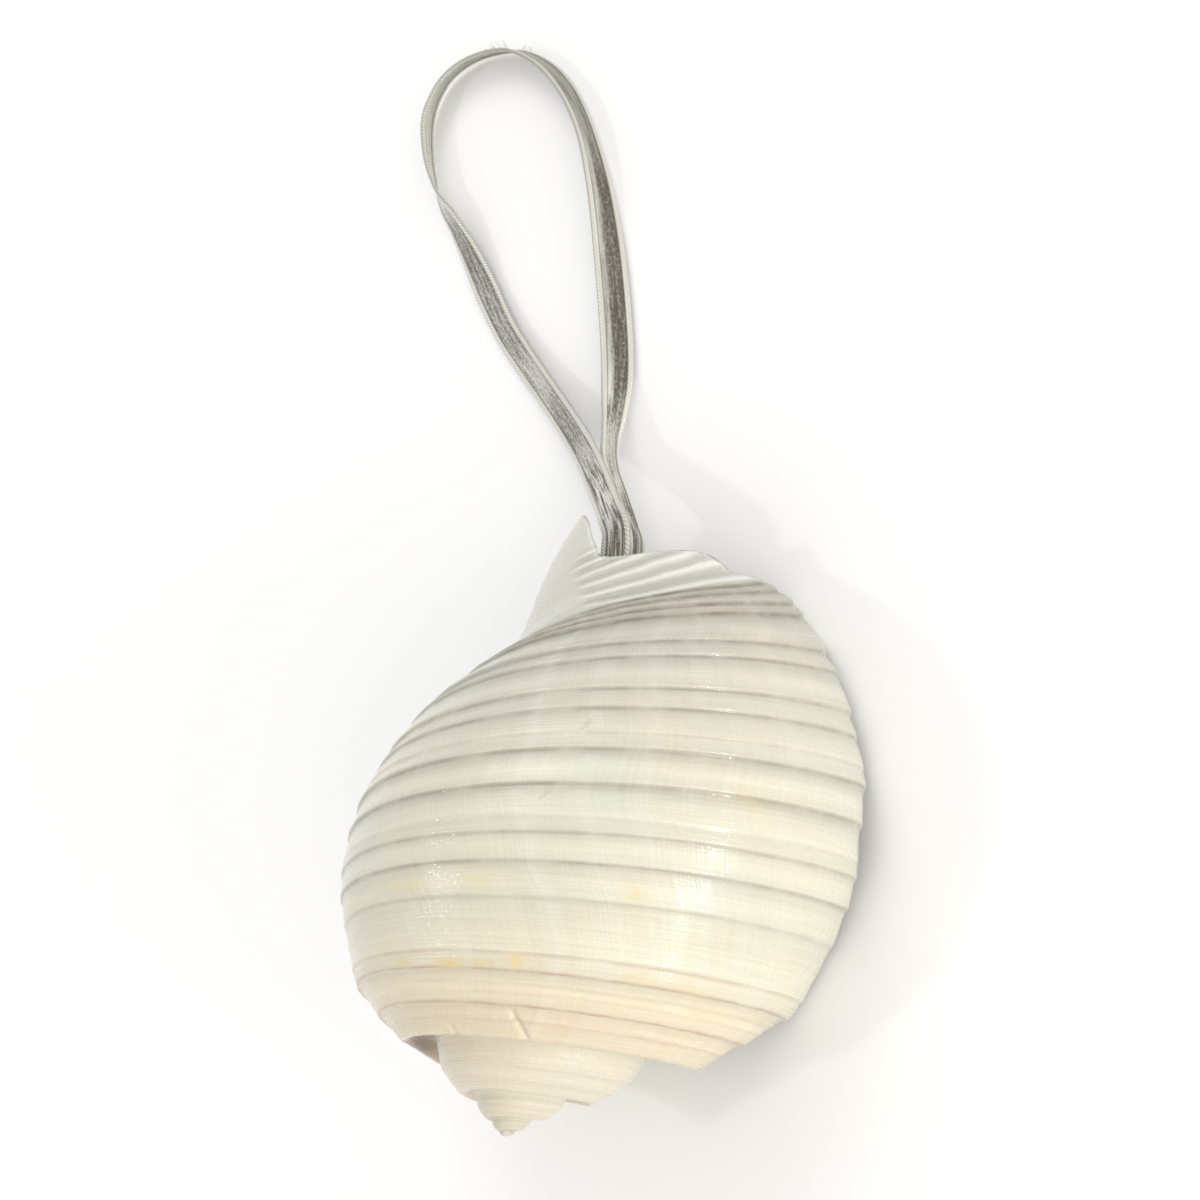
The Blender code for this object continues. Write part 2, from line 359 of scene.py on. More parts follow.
def relief(radius, height):
    """How far the ribs lift the surface at a place on the edge."""
    if radius < RIBS_FROM_RADIUS:
        return 0.0
    lift = 0.0
    for step, rise, reach in RIBS:
        past = height - step
        up = min(max(past / STEP_WIDTH + 0.5, 0.0), 1.0)
        off = min(max(1.0 - past / reach, 0.0), 1.0)
        lift += rise * up * up * (3.0 - 2.0 * up) * off ** SLOPE_POWER
    return lift


def lifted(points, share=1.0, offset=0.0):
    """Move the points of an edge outwards by an offset and a share of relief."""
    rows = []
    for a, b, c in zip(points, points[1:], points[2:]):
        run = Vector((c.x - a.x, c.y - a.y)).normalized()
        out = offset + share * relief(b.x, b.y)
        rows.append(Vector((b.x + run.y * out, b.y - run.x * out, b.z)))
    return [points[0]] + rows + [points[-1]]


def spaced(points):
    """Thin out a dense line, but keep its points close at the rib steps."""
    kept, run = [points[0]], 0.0
    for a, b in zip(points, points[1:-1]):
        near = min(abs(b.y - rib[0]) for rib in RIBS) < NEAR_A_STEP
        lobe = LOBE_FROM < b.y < LOBE_TO
        space = FINE_SPACING if near else LOBE_SPACING if lobe else WIDE_SPACING
        run += (b - a).xy.length / space
        if run >= 1.0:
            kept.append(b)
            run = 0.0
    return kept + [points[-1]]


old_suture = (WHORL_MEETS[0] / WHORL_RATIO, WHORL_MEETS[1] / WHORL_RATIO, -5)
rim_line = spaced(lifted(curve_through([old_suture] + RIM + [WHORL_MEETS], 40)))
body_line = spaced(lifted(curve_through([WHORL_MEETS] + BODY + NECK, 40)))
edge_line = rim_line + body_line[1:] + [Vector(AXIS_END)]
MEETS_AT = len(rim_line) - 1
edge_run = [0.0]
for edge_a, edge_b in zip(edge_line, edge_line[1:]):
    edge_run.append(edge_run[-1] + (edge_b - edge_a).xy.length)
print("points on the edge: %d, length %.0f mm" % (len(edge_line), edge_run[-1]))

# %% [markdown]
# The outside is that edge, extruded back along the spiral. Growth is the same
# everywhere, so a short strip is extruded once, and turned, smaller copies of
# it make the rest. The newest whorl shows its whole edge, the older ones only
# the part near the suture. Every vertex keeps its turn and place on the edge.

# %% The growing strip
TURN_STEPS = 144
STRIP_STEPS = 9
STRIP_TURN = -360.0 * STRIP_STEPS / TURN_STEPS
SPIRE_TURNS = 3


def growth_mesh():
    """An empty bmesh that remembers where its vertices grew."""
    bm = bmesh.new()
    bm.loops.layers.uv.new("growth")
    return bm, bm.verts.layers.float.new("turn"), bm.verts.layers.int.new("place")


def chain(bm, marks, points, turn):
    """Vertices at the points, joined by edges, with turn and place noted."""
    verts = [bm.verts.new(point) for point in points]
    for number, vert in enumerate(verts):
        vert[marks[0]] = turn
        vert[marks[1]] = number
    return verts, [bm.edges.new(pair) for pair in zip(verts, verts[1:])]


def strips(points, start, count):
    """A mesh of strips: the first is grown, the others are its copies."""
    bm, *marks = growth_mesh()
    verts, edges = chain(bm, marks, points, start)
    bmesh.ops.transform(bm, matrix=spiral(start), verts=verts)
    for step in range(STRIP_STEPS):
        verts, edges = extruded_copy(bm, verts, edges, spiral(STRIP_TURN / STRIP_STEPS))
        for vert in verts:
            vert[marks[0]] = start + STRIP_TURN * (step + 1) / STRIP_STEPS
    first = bm.verts[:] + bm.edges[:] + bm.faces[:]
    for number in range(1, count):
        made = bmesh.ops.duplicate(bm, geom=first)["geom"]
        copies = [part for part in made if isinstance(part, bmesh.types.BMVert)]
        bmesh.ops.transform(bm, matrix=spiral(number * STRIP_TURN), verts=copies)
        for vert in copies:
            vert[marks[0]] += number * STRIP_TURN
    mesh = bpy.data.meshes.new("strips")
    bm.to_mesh(mesh)
    bm.free()
    return mesh


edge_places = [edge_point(*p) for p in edge_line]
strips_a_turn = TURN_STEPS // STRIP_STEPS
last_whorl = strips(edge_places, 0.0, strips_a_turn)
spire = strips(edge_places[:MEETS_AT + 1], -360.0, strips_a_turn * SPIRE_TURNS)
print("faces of last whorl and spire:", len(last_whorl.polygons), len(spire.polygons))

# %% [markdown]
# Both meshes are joined, and the open sides get faces: a flat web across the
# mouth, a fan along the axis, and a small cone over the first tiny whorl. The
# seams are welded. Only a closed form can have a hollow cut out of it.

# %% The outside of the shell
APEX_SINK = 0.10
TIP_WEAR = [(-352.0, 26), (-450.0, 36), (-640.0, 50), (-900.0, 30)]
RIM_SETTLES = (-192.0, 26.0, 9.0, 6.5, 1.3)
SWELL_PACES = (0.21, 0.47, 0.83)
SWELL_RISE = 0.035
LIP_FADE = 5.0
HEALED_MARKS = [
    ((-94.5, 17.2), (-85.8, 10.8), 0.55, 0.55),
    ((-116.5, 12.4), (-112.5, 9.4), 0.6, 0.4),
    ((-75.0, 79.4), (-73.8, 81.6), 0.45, 0.35),
    ((-80.6, 63.8), (-78.6, 65.4), 0.50, 0.35),
]
TIP_PULL = 1.3
TIP_REACH = 8.0
WELD = 0.004 * MM


def close_mouth(bm, marks):
    """Faces from the newest edge to the edge one turn before it."""
    now = chain(bm, marks, edge_places, 0.0)[0]
    then = chain(bm, marks, [spiral(-360.0) @ p for p in edge_places], -360.0)[0]
    for i in range(MEETS_AT):
        bm.faces.new((now[i], now[i + 1], then[MEETS_AT]))
    for i in range(MEETS_AT, len(now) - 2):
        bm.faces.new((now[i], now[i + 1], then[i + 1], then[i]))
    turns = [-360.0 * k / TURN_STEPS for k in range(TURN_STEPS + 1)]
    axis = [bm.verts.new(spiral(turn) @ edge_places[-1]) for turn in turns]
    for pair in zip(axis, axis[1:] + [then[-2]]):
        bm.faces.new((now[-2], pair[0], pair[1]))


def close_apex(bm, marks):
    """A low cone over the opening that the smallest whorl leaves."""
    end = -360.0 * (1 + SPIRE_TURNS)
    turns = [end + 360.0 - 360.0 * k / TURN_STEPS for k in range(TURN_STEPS + 1)]
    ring = [bm.verts.new(spiral(turn) @ edge_places[0]) for turn in turns]
    edge = [spiral(end) @ p for p in edge_places[:MEETS_AT + 1]]
    bm.faces.new(chain(bm, marks, edge, end)[0])
    apex = bm.verts.new((0.0, 0.0, APEX_SINK * MM))
    for pair in zip(ring, ring[1:] + ring[:1]):
        bm.faces.new((pair[0], pair[1], apex))


def place_at(turn, run):
    """The surface point at a turn and a run along the edge."""
    last = min(max(i for i, r in enumerate(edge_run) if r <= run), len(edge_run) - 2)
    share = (run - edge_run[last]) / (edge_run[last + 1] - edge_run[last])
    return spiral(turn) @ edge_places[last].lerp(edge_places[last + 1], share)


def wear_tip(bm, marks):
    """Wear the oldest whorls down, and draw the tip out a little."""
    for vert in bm.verts:
        vert.co.z -= TIP_PULL * MM * math.exp(-vert.co.length / (TIP_REACH * MM))
    for turn, passes in TIP_WEAR:
        worn = [vert for vert in bm.verts
                if vert[marks[0]] < turn and vert[marks[1]] <= MEETS_AT]
        for _ in range(passes):
            bmesh.ops.smooth_vert(bm, verts=worn, factor=0.5, use_axis_x=True,
                                  use_axis_y=True, use_axis_z=True)


def settle_rim(bm, marks):
    """Move the rim of the channel a little forward on the shell's left side."""
    turn, wide, run, high, rise = RIM_SETTLES
    for vert in bm.verts:
        aside = (vert[marks[0]] - turn) / wide
        along = (edge_run[vert[marks[1]]] - run) / high
        vert.co.z += rise * MM * math.exp(-aside * aside - along * along)


def raise_swells(bm, marks):
    """Lift the surface by small swells of growth, fading out at the lip."""
    bm.normal_update()
    lifts = []
    for vert in bm.verts:
        turn = vert[marks[0]]
        swell = sum(math.sin(turn * pace + 1.3 * pace) for pace in SWELL_PACES)
        size = min(-turn / LIP_FADE, 1.0) * WHORL_RATIO ** (turn / 360.0)
        lifts.append(vert.normal * swell * size * SWELL_RISE * MM)
    for vert, lift in zip(bm.verts, lifts):
        vert.co += lift


def raise_mark(bm, start, end, half, rise):
    """A short healed ridge or chip, on a patch that is divided finely first."""
    a, b = place_at(*start), place_at(*end)
    along = b - a

    def away(vert):
        share = min(max((vert.co - a).dot(along) / along.length_squared, 0.0), 1.0)
        return (vert.co - a - along * share).length / (half * MM)

    for _ in range(2):
        near = {vert for vert in bm.verts if away(vert) < 4.0}
        edges = {edge for vert in near for edge in vert.link_edges}
        bmesh.ops.subdivide_edges(bm, edges=list(edges), cuts=1, use_grid_fill=True)
    bm.normal_update()
    for vert in [v for v in bm.verts if away(v) < 3.0]:
        vert.co += vert.normal * rise * MM * math.exp(-away(vert) ** 2)


def make_outside():
    """The whole outer form as one closed mesh."""
    bm, *marks = growth_mesh()
    bm.from_mesh(last_whorl)
    bm.from_mesh(spire)
    marks = bm.verts.layers.float["turn"], bm.verts.layers.int["place"]
    close_mouth(bm, marks)
    close_apex(bm, marks)
    growth = bm.loops.layers.uv["growth"]
    for face in bm.faces:
        for loop in face.loops:
            place = loop.vert[marks[1]]
            loop[growth].uv = (loop.vert[marks[0]], edge_run[place])
    bmesh.ops.remove_doubles(bm, verts=bm.verts[:], dist=WELD)
    raise_swells(bm, marks)
    settle_rim(bm, marks)
    for mark in HEALED_MARKS:
        raise_mark(bm, *mark)
    wear_tip(bm, marks)
    bmesh.ops.triangulate(bm, faces=bm.faces[:])
    bmesh.ops.recalc_face_normals(bm, faces=bm.faces[:])
    print("open or crossed edges:", sum(not edge.is_manifold for edge in bm.edges))
    return finished_object("tun_shell", bm)


shell = make_outside()
print("outside faces:", len(shell.data.polygons))

# %% [markdown]
# The animal lived in a hollow that follows the same spiral. It is a second
# closed form, swept from just in front of the lip back into the shell, and a
# Boolean cuts it out. Its outer wall keeps an even distance to the edge and
# takes part of the ribs, because a tun shell is thin and its ribs show inside.
# The manifold solver is used: both forms are closed, and it is quick on them.

# %% The hollow
WALL = 1.6
RIBS_INSIDE = 0.7
OUTER_FROM = 5
OUTER_SPACING = 18
HOLLOW_REST = [
    (35.6, 99.2), (29.8, 103.4), (25.9, 108.2), (23.0, 113.4), (21.3, 118.5),
    (19.6, 126.4), (13.8, 125.6), (10.8, 113.0), (7.6, 96.0), (6.6, 82.0),
    (8.0, 69.0), (10.4, 57.5), (12.3, 51.0), (15.2, 46.9), (19.8, 42.2),
    (22.4, 37.0), (24.4, 32.0), (25.2, 27.0), (25.3, 24.6), (28.0, 23.0),
]
HOLLOW_AHEAD = 30.0
HOLLOW_TURNS = 1.65
HOLLOW_STEP = 4.0
LIP_SOFT = -3.2
LIP_RUN = 122.0
LIP_PASSES = 4
INSIDE_MARK = -100.0


def hollow_line():
    """The closed section of the hollow: outer wall, front end and pillar."""
    keys = RIM[OUTER_FROM:] + [WHORL_MEETS] + BODY[:-1]
    wall = lifted(curve_through(keys, 40), RIBS_INSIDE, -WALL)[1:-1]
    rest = curve_through([p + (0,) for p in HOLLOW_REST], 3)
    return wall[::OUTER_SPACING] + rest


def make_hollow():
    """The hollow as a solid, from just past the lip back into the shell."""
    start = spiral(HOLLOW_AHEAD)
    bm, *marks = growth_mesh()
    points = [start @ edge_point(p.x, p.y) for p in hollow_line()]
    verts, edges = chain(bm, marks, points, HOLLOW_AHEAD)
    edges.append(bm.edges.new((verts[-1], verts[0])))
    caps = [verts]
    degrees = HOLLOW_AHEAD + 360.0 * HOLLOW_TURNS
    steps = round(degrees / HOLLOW_STEP)
    for number in range(steps):
        verts, edges = extruded_copy(bm, verts, edges, spiral(-degrees / steps))
        for vert in verts:
            vert[marks[0]] = HOLLOW_AHEAD - degrees * (number + 1) / steps
    for cap in caps + [verts]:
        bm.faces.new(cap)
    growth = bm.loops.layers.uv["growth"]
    for face in bm.faces:
        for loop in face.loops:
            loop[growth].uv = (loop.vert[marks[0]], INSIDE_MARK - loop.vert[marks[1]])
    bmesh.ops.triangulate(bm, faces=bm.faces[:])
    bmesh.ops.recalc_face_normals(bm, faces=bm.faces[:])
    return finished_object("hollow", bm)


def cut(target, tool):
    """Take the tool away from the target and drop the tool."""
    step = target.modifiers.new("cut", "BOOLEAN")
    step.operation = "DIFFERENCE"
    step.solver = "MANIFOLD"
    step.object = tool
    graph = bpy.context.evaluated_depsgraph_get()
    mesh = bpy.data.meshes.new_from_object(target.evaluated_get(graph))
    target.modifiers.clear()
    target.data = mesh
    bpy.data.objects.remove(tool, do_unlink=True)


def round_lip(item):
    """Soften the lip, where the cut has left sharp edges."""
    bm = bmesh.new()
    bm.from_mesh(item.data)
    growth = bm.loops.layers.uv["growth"]
    lip = [vert for vert in bm.verts if any(
        LIP_SOFT < loop[growth].uv.x < 1.0 and loop[growth].uv.y < LIP_RUN
        for loop in vert.link_loops)]
    for _ in range(LIP_PASSES):
        bmesh.ops.smooth_vert(bm, verts=lip, factor=0.5, use_axis_x=True,
                              use_axis_y=True, use_axis_z=True)
    bm.to_mesh(item.data)
    bm.free()
    return len(lip)


cut(shell, make_hollow())
print("vertices softened at the lip:", round_lip(shell))
print("hollow shell faces:", len(shell.data.polygons))

# %% [markdown]
# Put down on a table, such a shell rolls onto its open side and rests on
# three spots: the belly of its last whorl and two places on its lip. The
# upright form is turned to that rest, and what reaches below the table's
# level is trimmed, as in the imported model, which leaves the same small flats.

# %% Lay the shell down
REST_UP = Vector((-0.6020, -0.7782, -0.1789)).normalized()
APEX_PLACE = Vector((-9.14, -56.32, 33.77)) * MM


def lay_down(item):
    """Turn the shell from its upright axis to the way it rests."""
    ahead = (Vector((0.0, 0.0, 1.0)) - REST_UP * REST_UP.z).normalized()
    side = ahead.cross(REST_UP)
    rest = Matrix((side, ahead, REST_UP)).to_4x4()
    item.data.transform(Matrix.Translation(APEX_PLACE) @ rest)


def cut_flats(item):
    """Trim what is below the table, which leaves small flat spots."""
    bm = bmesh.new()
    bm.from_mesh(item.data)
    bmesh.ops.bisect_plane(
        bm, geom=bm.verts[:] + bm.edges[:] + bm.faces[:], dist=0.001 * MM,
        plane_co=(0.0, 0.0, 0.0), plane_no=(0.0, 0.0, 1.0), clear_inner=True)
    rims = [edge for edge in bm.edges if edge.is_boundary]
    bmesh.ops.holes_fill(bm, edges=rims, sides=0)
    bmesh.ops.triangulate(bm, faces=bm.faces[:])
    bm.to_mesh(item.data)
    bm.free()


lay_down(shell)
cut_flats(shell)
shell.data.polygons.foreach_set("use_smooth", [True] * len(shell.data.polygons))
print("shell size:", [round(d / MM, 1) for d in shell.dimensions])

# %% [markdown]
# Marks that follow the growth are worked out on the growth map and kept as
# attributes of the mesh: a dark thread at the foot of each rib, which is painted
# shade with some grey colour; a painted highlight just in front of each step
# with painted shade beyond it; pale streaks of repaired growth; yellow stains;
# and painted shade, tinted brown, deep in the channel.

# %% Marks that follow the growth
LINE_HALF = 0.50
DEEP_HALF = 0.58
LINE_BACK = 0.42
DEEP_RUN = 111.0
# Painted light on the ribs, each as (ahead of the step, half width, strength) in mm: a highlight
# on the crest and shade beyond it.
CREST_HIGHLIGHT = (3.2, 1.5, 0.065)
BAND_SHADE = (-1.7, 1.3, -0.065)
FULL_RISE = 0.75
REDDISH_TO = 32.0
SPIRE_FROM = -352.0
SPIRE_RIB_SHADING = 0.35
STREAKS = [
    (-127.0, 2.6, 0.2), (-106.5, 1.8, 0.2), (-84.8, 1.5, 0.45), (-71.6, 1.3, 0.5),
    (-59.4, 1.1, 0.4), (-50.5, 1.0, 0.35), (-30.0, 1.8, 0.2),
]
STAINS = [
    (-128.7, 30.7, 3.0, 1.1, 0.8), (-113.1, 29.8, 3.5, 1.3, 1.0), (-95.1, 31.0, 2.2, 1.5, 1.0),
    (-104.0, 30.3, 5.0, 0.7, 0.6), (-65.6, 30.5, 4.0, 1.4, 0.5), (-52.0, 29.5, 5.0, 1.6, 0.5),
    (-98.8, 47.1, 4.0, 1.6, 0.5), (-116.0, 46.6, 5.0, 1.5, 0.5), (-125.6, 47.2, 4.0, 1.3, 0.5),
    (-65.6, 46.3, 3.0, 1.6, 0.5), (-146.4, 47.1, 6.0, 1.6, 0.5), (-36.8, 66.3, 5.0, 2.5, 0.35),
    (-120.7, 87.4, 6.0, 1.8, 0.3), (-45.0, 24.0, 16.0, 1.6, 0.30), (-20.0, 26.0, 8.0, 1.6, 0.35),
]
# Spots of painted shade, tinted brown, deep in the channel: (turn, run, half width in turn, half
# width in run, strength).
CHANNEL_SHADE_SPOTS = [(-188.0, 8.0, 24.0, 5.0, 1.0), (-150.0, 3.0, 16.0, 2.2, 0.8)]


def bell(offset, half):
    """A smooth bump of height one, for a mark of that half width."""
    return np.exp(-(offset / half) ** 2)


def rib_runs():
    """Where each rib's step lies along the edge, with its strength."""
    heights = [point.y for point in edge_line]
    low = heights.index(min(heights))
    high = heights.index(max(heights))
    runs = np.interp([rib[0] for rib in RIBS], heights[low:high], edge_run[low:high])
    return [(run, min(rib[1] / FULL_RISE, 1.0)) for run, rib in zip(runs, RIBS)]


def add_marks(item):
    """Work the marks out for each corner and keep them in the mesh."""
    mesh = item.data
    corners = np.empty(2 * len(mesh.loops), np.float32)
    mesh.uv_layers["growth"].data.foreach_get("uv", corners)
    turn, run = corners[0::2], corners[1::2]
    outside = (run > 0.5 * INSIDE_MARK).astype(np.float32)
    # The dark line at each rib's foot is painted shade with some grey colour in it, stronger in
    # the deep lines of the neck.
    half = np.where(run < DEEP_RUN, LINE_HALF, DEEP_HALF)
    line = sum(force * bell(run - place + LINE_BACK, half) for place, force in rib_runs())
    line *= np.where(run < DEEP_RUN, 0.72, 1.25)
    pale = sum(force * bell(turn - at, wide) for at, wide, force in STREAKS)
    # The brown deep in the channel is painted shade.
    stain, channel_shade = (sum(force * bell(turn - at, wide) * bell(run - up, high)
                       for at, up, wide, high, force in spots) for spots in (STAINS, CHANNEL_SHADE_SPOTS))
    # The tone mark is painted light: a highlight just in front of each step and shade beyond it,
    # weaker on the spire.
    tone = sum(force * size * bell(run - place - ahead, wide)
               for place, force in rib_runs() for ahead, wide, size in (CREST_HIGHLIGHT, BAND_SHADE))
    tone *= np.where(turn > SPIRE_FROM, 1.0, SPIRE_RIB_SHADING)
    for name, values in (("line", line), ("pale", pale), ("stain", stain),
                         ("channel_shade", channel_shade), ("tone", 0.5 + tone)):
        layer = mesh.attributes.new(name, "FLOAT", "CORNER")
        layer.data.foreach_set("value", np.clip(values, 0.0, 1.0) * outside)
    return len(turn)


print("corners with marks:", add_marks(shell))

# %% [markdown]
# Shell lime is pale and a little translucent, with a thin natural gloss. The
# finish is drawn on the growth map, whose one axis runs round the spiral and
# the other along the edge, so lines of growth and threads follow the form. A
# few helpers keep the node trees short to read.

# %% Helpers for materials
def new_material(name):
    """An empty material; returns it, its node tree and its shader."""
    material = bpy.data.materials.new(name)
    material.use_nodes = True
    tree = material.node_tree
    return material, tree, tree.nodes["Principled BSDF"]


def put(tree, socket, value):
    """Link an output to a socket, or set the socket to a plain value."""
    if hasattr(value, "is_linked"):
        tree.links.new(value, socket)
    else:
        socket.default_value = value


def sums(tree, operation, *values):
    """A math node on sockets or numbers; returns its output."""
    node = tree.nodes.new("ShaderNodeMath")
    node.operation = operation
    for socket, value in zip(node.inputs, values):
        put(tree, socket, value)
    return node.outputs[0]


def spread(tree, value, low, high, to_low=0.0, to_high=1.0):
    """Map a range of a value onto another, smoothly and clamped."""
    node = tree.nodes.new("ShaderNodeMapRange")
    node.interpolation_type = "SMOOTHSTEP"
    for socket, number in zip(node.inputs, (value, low, high, to_low, to_high)):
        put(tree, socket, number)
    return node.outputs[0]


def blend_colours(tree, share, a, b, way="MIX"):
    """Two colours mixed by a share."""
    node = tree.nodes.new("ShaderNodeMix")
    node.data_type = "RGBA"
    node.blend_type = way
    put(tree, node.inputs[0], share)
    put(tree, node.inputs[6], a)
    put(tree, node.inputs[7], b)
    return node.outputs[2]


def map_axes(tree, name):
    """The two axes of a UV map, as numbers."""
    source = tree.nodes.new("ShaderNodeUVMap")
    source.uv_map = name
    axes = tree.nodes.new("ShaderNodeSeparateXYZ")
    tree.links.new(source.outputs[0], axes.inputs[0])
    return axes.outputs[0], axes.outputs[1]


def streaky_noise(tree, x, y, scale_x, scale_y, detail=2.0):
    """Noise that is drawn out along one of two axes."""
    place = tree.nodes.new("ShaderNodeCombineXYZ")
    put(tree, place.inputs[0], sums(tree, "MULTIPLY", x, scale_x))
    put(tree, place.inputs[1], sums(tree, "MULTIPLY", y, scale_y))
    noise = tree.nodes.new("ShaderNodeTexNoise")
    noise.inputs["Scale"].default_value = 1.0
    noise.inputs["Detail"].default_value = detail
    tree.links.new(place.outputs[0], noise.inputs["Vector"])
    return noise.outputs[0]


def body_noise(tree, scale, detail=2.0):
    """Even noise in the piece's own space; the scale is per metre."""
    place = tree.nodes.new("ShaderNodeTexCoord")
    noise = tree.nodes.new("ShaderNodeTexNoise")
    noise.inputs["Scale"].default_value = scale
    noise.inputs["Detail"].default_value = detail
    tree.links.new(place.outputs["Object"], noise.inputs["Vector"])
    return noise.outputs[0]


def mark(tree, name):
    """A mark that is kept as an attribute of the mesh."""
    node = tree.nodes.new("ShaderNodeAttribute")
    node.attribute_name = name
    return node.outputs["Fac"]


def colour_ramp(tree, value, stops):
    """A colour ramp with stops of (place, colour)."""
    node = tree.nodes.new("ShaderNodeValToRGB")
    put(tree, node.inputs[0], value)
    while len(node.color_ramp.elements) < len(stops):
        node.color_ramp.elements.new(1.0)
    for stop, (place, colour) in zip(node.color_ramp.elements, stops):
        stop.position = place
        stop.color = (*colour, 1.0)
    return node.outputs[0]


def bump(tree, normal, height, depth):
    """Relief on a shader's normal, from a height and a depth in metres."""
    node = tree.nodes.new("ShaderNodeBump")
    node.inputs["Distance"].default_value = depth
    tree.links.new(height, node.inputs["Height"])
    tree.links.new(node.outputs[0], normal)


# %% The shell's colour
RUN_END = 187.0
# Colour by run along the edge, darker and browner at run 0 in the channel; the dark stops from run
# 103 to 121.5 are painted shade in the hollow below the front lobe.
LIME_AND_NECK_SHADE = [
    (0.0, (0.60, 0.47, 0.35)), (8.0, (0.74, 0.63, 0.46)), (18.0, (0.75, 0.65, 0.47)),
    (27.0, (0.72, 0.65, 0.49)), (33.0, (0.67, 0.635, 0.50)), (45.0, (0.66, 0.635, 0.51)),
    (62.0, (0.65, 0.625, 0.51)), (80.0, (0.62, 0.595, 0.49)), (95.0, (0.58, 0.555, 0.465)),
    (103.0, (0.52, 0.50, 0.42)), (114.0, (0.47, 0.44, 0.355)), (121.5, (0.44, 0.405, 0.32)),
    (126.0, (0.52, 0.51, 0.44)), (131.0, (0.64, 0.64, 0.565)), (142.0, (0.64, 0.635, 0.56)),
    (RUN_END, (0.66, 0.65, 0.57)),
]
# The line at each rib's foot: painted shade, grey, and reddish near the suture.
LINE_SHADE_GREY = (0.24, 0.22, 0.175, 1.0)
LINE_SHADE_RED = (0.42, 0.26, 0.18, 1.0)
STREAK_WHITE = (0.74, 0.72, 0.66, 1.0)
STAIN_GOLD = (0.73, 0.55, 0.23, 1.0)
CHANNEL_SHADE_BROWN = (0.20, 0.13, 0.08, 1.0)
COOL_GREY = (0.60, 0.63, 0.57, 1.0)
WARM_PEACH = (0.72, 0.63, 0.49, 1.0)
SPIRE_PEACH = (0.76, 0.70, 0.56, 1.0)
LIP_WHITE = (0.74, 0.72, 0.66, 1.0)
FOLD_SHADE_GREY = (0.40, 0.40, 0.35, 1.0)
FOLD_HIGHLIGHT_WHITE = (0.80, 0.80, 0.74, 1.0)
FOLDS = (119.0, 125.0, 143.0, 152.0)
FOLD_PIVOT = Vector((-27.0, 30.8, 46.4)) * MM
FOLD_ALONG = Vector((0.7987, 0.3344, -0.5010))
FOLD_ACROSS = Vector((-0.1700, 0.9230, 0.3450))
FOLD_DEGREES = 3.4
FOLD_START = 1.0
INSIDE_CREAM = (0.78, 0.74, 0.64, 1.0)


def distance_along(tree, direction):
    """How far a point lies along a direction from the folds' pivot, in metres."""
    place = tree.nodes.new("ShaderNodeTexCoord")
    dot = tree.nodes.new("ShaderNodeVectorMath")
    dot.operation = "DOT_PRODUCT"
    tree.links.new(place.outputs["Object"], dot.inputs[0])
    dot.inputs[1].default_value = direction
    return sums(tree, "SUBTRACT", dot.outputs["Value"], FOLD_PIVOT.dot(direction))


def lobe_folds(tree, turn, run):
    """The folds that fan out over the front lobe, as a wave from -1 to 1."""
    away = distance_along(tree, FOLD_ALONG)
    angle = sums(tree, "ARCTAN2", distance_along(tree, FOLD_ACROSS), away)
    count = sums(tree, "MULTIPLY", angle, 360.0 / FOLD_DEGREES)
    count = sums(tree, "ADD", count, sums(tree, "MULTIPLY", body_noise(tree, 60.0), 4.0))
    wave = sums(tree, "SINE", sums(tree, "ADD", count, FOLD_START))
    inside = sums(tree, "MULTIPLY", spread(tree, run, FOLDS[0], FOLDS[1]),
                  spread(tree, run, FOLDS[3], FOLDS[2]))
    inside = sums(tree, "MULTIPLY", inside, spread(tree, turn, -85.0, -60.0))
    near = sums(tree, "MULTIPLY", inside, spread(tree, away, 26.0 * MM, 31.0 * MM))
    return sums(tree, "MULTIPLY", wave, near)


